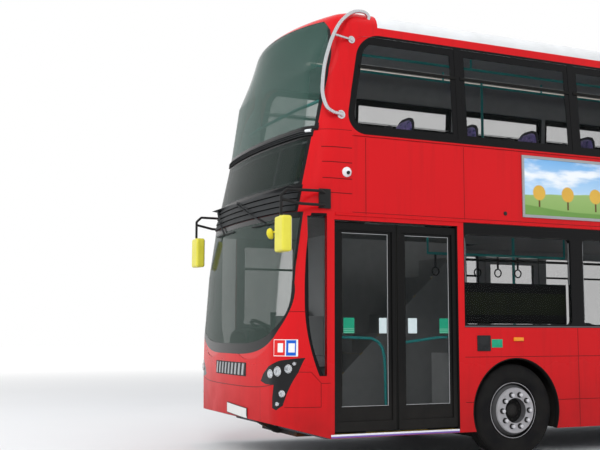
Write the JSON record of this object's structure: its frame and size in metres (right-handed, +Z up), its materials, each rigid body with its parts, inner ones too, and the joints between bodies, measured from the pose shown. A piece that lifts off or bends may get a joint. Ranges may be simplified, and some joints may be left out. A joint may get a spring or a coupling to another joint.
{
  "type": "double decker bus",
  "caption": "Right-hand-drive double deck bus with gliding twin-leaf entrance and exit doors, raked curved front, stairs, seats, steered front axle and twin rear wheels.",
  "frame": {"origin": "on the ground under the middle of the overall box", "axes": "+X forward, +Y towards the door side (nearside), +Z up"},
  "size_m": [10.4, 2.758, 4.5511],
  "materials": {
    "red_paint": "gloss bright red",
    "white_paint": "gloss white",
    "screen_glass": "clear laminated",
    "side_glass": "lightly tinted",
    "floor_covering": "speckled anti-slip",
    "lining": "satin grey",
    "dark_trim": "grained black",
    "seat_fabric": "woven moquette",
    "handrail": "powder coated teal",
    "chassis_steel": "satin black",
    "engine_iron": "painted grey",
    "lamp_cover": "clear moulded cover",
    "tail_lens": "ribbed lens",
    "mirror_yellow": "moulded housing on black arms",
    "polished_steel": "polished tube",
    "frame_aluminium": "anodised frame",
    "wheel_steel": "silver grey with bare nave",
    "tyre_rubber": "worn black rubber",
    "door_black": "gloss black frame with clear pane"
  },
  "bodies": {
    "body": {"front_bumper": "red_paint", "front_panel": "red_paint", "windscreen": "screen_glass", "front_mid_panel": "red_paint", "destination_glass": "screen_glass", "front_dome": "red_paint", "upper_windscreen": "screen_glass", "roof": "white_paint", "rear_lower": "red_paint", "rear_mid_panel": "red_paint", "rear_upper": "red_paint", "rear_glass": "side_glass", "side_lower_near": "red_paint", "side_lower_off": "red_paint", "side_upper_near": "red_paint", "side_upper_off": "red_paint", "glass_near": "side_glass", "glass_off": "side_glass", "lower_floor": "floor_covering", "wheel_boxes": "lining", "bulkhead": "lining", "upper_floor": "floor_covering", "stairs": "lining", "cab_screen": "lining", "dashboard": "dark_trim", "driver_seat": "seat_fabric", "seats_lower": "seat_fabric", "seats_upper": "seat_fabric", "handrails": "handrail", "chassis": "chassis_steel", "engine": "engine_iron", "front_axle": "chassis_steel", "rear_axle": "chassis_steel", "headlamps": "lamp_cover", "tail_lamps": "tail_lens", "wipers": "dark_trim", "mirrors": "mirror_yellow", "tree_guard": "polished_steel", "advert_frames": "frame_aluminium"},
    "engine_lid": {"engine_lid": "red_paint"},
    "emergency_door": {"emergency_door": "red_paint"},
    "cab_door": {"cab_door": "lining"},
    "steer_near": {"knuckle_near": "chassis_steel"},
    "front_wheel_near": {"wheel_front_near": "wheel_steel", "tyre_front_near": "tyre_rubber"},
    "rear_wheel_near": {"wheel_rear_near": "wheel_steel", "tyre_rear_near": "tyre_rubber"},
    "steer_off": {"knuckle_off": "chassis_steel"},
    "front_wheel_off": {"wheel_front_off": "wheel_steel", "tyre_front_off": "tyre_rubber"},
    "rear_wheel_off": {"wheel_rear_off": "wheel_steel", "tyre_rear_off": "tyre_rubber"},
    "entrance_arm_rear": {"entrance_arm_rear": "chassis_steel"},
    "entrance_leaf_rear": {"entrance_leaf_rear": "door_black"},
    "entrance_arm_fore": {"entrance_arm_fore": "chassis_steel"},
    "entrance_leaf_fore": {"entrance_leaf_fore": "door_black"},
    "exit_arm_rear": {"exit_arm_rear": "chassis_steel"},
    "exit_leaf_rear": {"exit_leaf_rear": "door_black"},
    "exit_arm_fore": {"exit_arm_fore": "chassis_steel"},
    "exit_leaf_fore": {"exit_leaf_fore": "door_black"}
  },
  "joints": [
    {"name": "steer_near", "type": "hinge", "parent": "body", "child": "steer_near", "pos_m": [2.46, 0.93, 0.479], "axis": [0, 0, 1], "range_deg": [-45, 45]},
    {"name": "front_wheel_near_spin", "type": "hinge", "parent": "steer_near", "child": "front_wheel_near", "pos_m": [2.46, 1.085, 0.479], "axis": [0, 1, 0], "continuous": true},
    {"name": "rear_wheel_near_spin", "type": "hinge", "parent": "body", "child": "rear_wheel_near", "pos_m": [-2.87, 1.08, 0.479], "axis": [0, 1, 0], "continuous": true},
    {"name": "steer_off", "type": "hinge", "parent": "body", "child": "steer_off", "pos_m": [2.46, -0.93, 0.479], "axis": [0, 0, 1], "range_deg": [-45, 45]},
    {"name": "front_wheel_off_spin", "type": "hinge", "parent": "steer_off", "child": "front_wheel_off", "pos_m": [2.46, -1.085, 0.479], "axis": [0, 1, 0], "continuous": true},
    {"name": "rear_wheel_off_spin", "type": "hinge", "parent": "body", "child": "rear_wheel_off", "pos_m": [-2.87, -1.08, 0.479], "axis": [0, 1, 0], "continuous": true},
    {"name": "engine_lid_hinge", "type": "hinge", "parent": "body", "child": "engine_lid", "pos_m": [-5.175, 0, 1.667], "axis": [0, 1, 0], "range_deg": [0, 80]},
    {"name": "emergency_door_hinge", "type": "hinge", "parent": "body", "child": "emergency_door", "pos_m": [1.057, -1.235, 1.3], "axis": [0, 0, 1], "range_deg": [0, 90]},
    {"name": "cab_door_hinge", "type": "hinge", "parent": "body", "child": "cab_door", "pos_m": [4.5275, -0.3175, 0.96], "axis": [0, 0, -1], "range_deg": [0, 85]},
    {"name": "entrance_arm_rear_turn", "type": "hinge", "parent": "body", "child": "entrance_arm_rear", "pos_m": [3.144, 1.157, 1.3], "axis": [0, 0, -1], "range_deg": [0, 88]},
    {"name": "entrance_leaf_rear_turn", "type": "hinge", "parent": "entrance_arm_rear", "child": "entrance_leaf_rear", "pos_m": [3.5015, 1.217, 1.3], "axis": [0, 0, -1], "range_deg": [-176, 0]},
    {"name": "entrance_arm_fore_turn", "type": "hinge", "parent": "body", "child": "entrance_arm_fore", "pos_m": [4.59, 1.157, 1.3], "axis": [0, 0, 1], "range_deg": [0, 88]},
    {"name": "entrance_leaf_fore_turn", "type": "hinge", "parent": "entrance_arm_fore", "child": "entrance_leaf_fore", "pos_m": [4.2325, 1.217, 1.3], "axis": [0, 0, 1], "range_deg": [-176, 0]},
    {"name": "exit_arm_rear_turn", "type": "hinge", "parent": "body", "child": "exit_arm_rear", "pos_m": [-0.32, 1.157, 1.3], "axis": [0, 0, -1], "range_deg": [0, 88]},
    {"name": "exit_leaf_rear_turn", "type": "hinge", "parent": "exit_arm_rear", "child": "exit_leaf_rear", "pos_m": [-0.014, 1.217, 1.3], "axis": [0, 0, -1], "range_deg": [-176, 0]},
    {"name": "exit_arm_fore_turn", "type": "hinge", "parent": "body", "child": "exit_arm_fore", "pos_m": [0.92, 1.157, 1.3], "axis": [0, 0, 1], "range_deg": [0, 88]},
    {"name": "exit_leaf_fore_turn", "type": "hinge", "parent": "exit_arm_fore", "child": "exit_leaf_fore", "pos_m": [0.614, 1.217, 1.3], "axis": [0, 0, 1], "range_deg": [-176, 0]}
  ],
  "couplings": [
    {"joint": "steer_off", "follows": "steer_near", "ratio": 1},
    {"joint": "entrance_leaf_rear_turn", "follows": "entrance_arm_rear_turn", "ratio": -2},
    {"joint": "entrance_leaf_fore_turn", "follows": "entrance_arm_fore_turn", "ratio": -2},
    {"joint": "exit_leaf_rear_turn", "follows": "exit_arm_rear_turn", "ratio": -2},
    {"joint": "exit_leaf_fore_turn", "follows": "exit_arm_fore_turn", "ratio": -2}
  ]
}
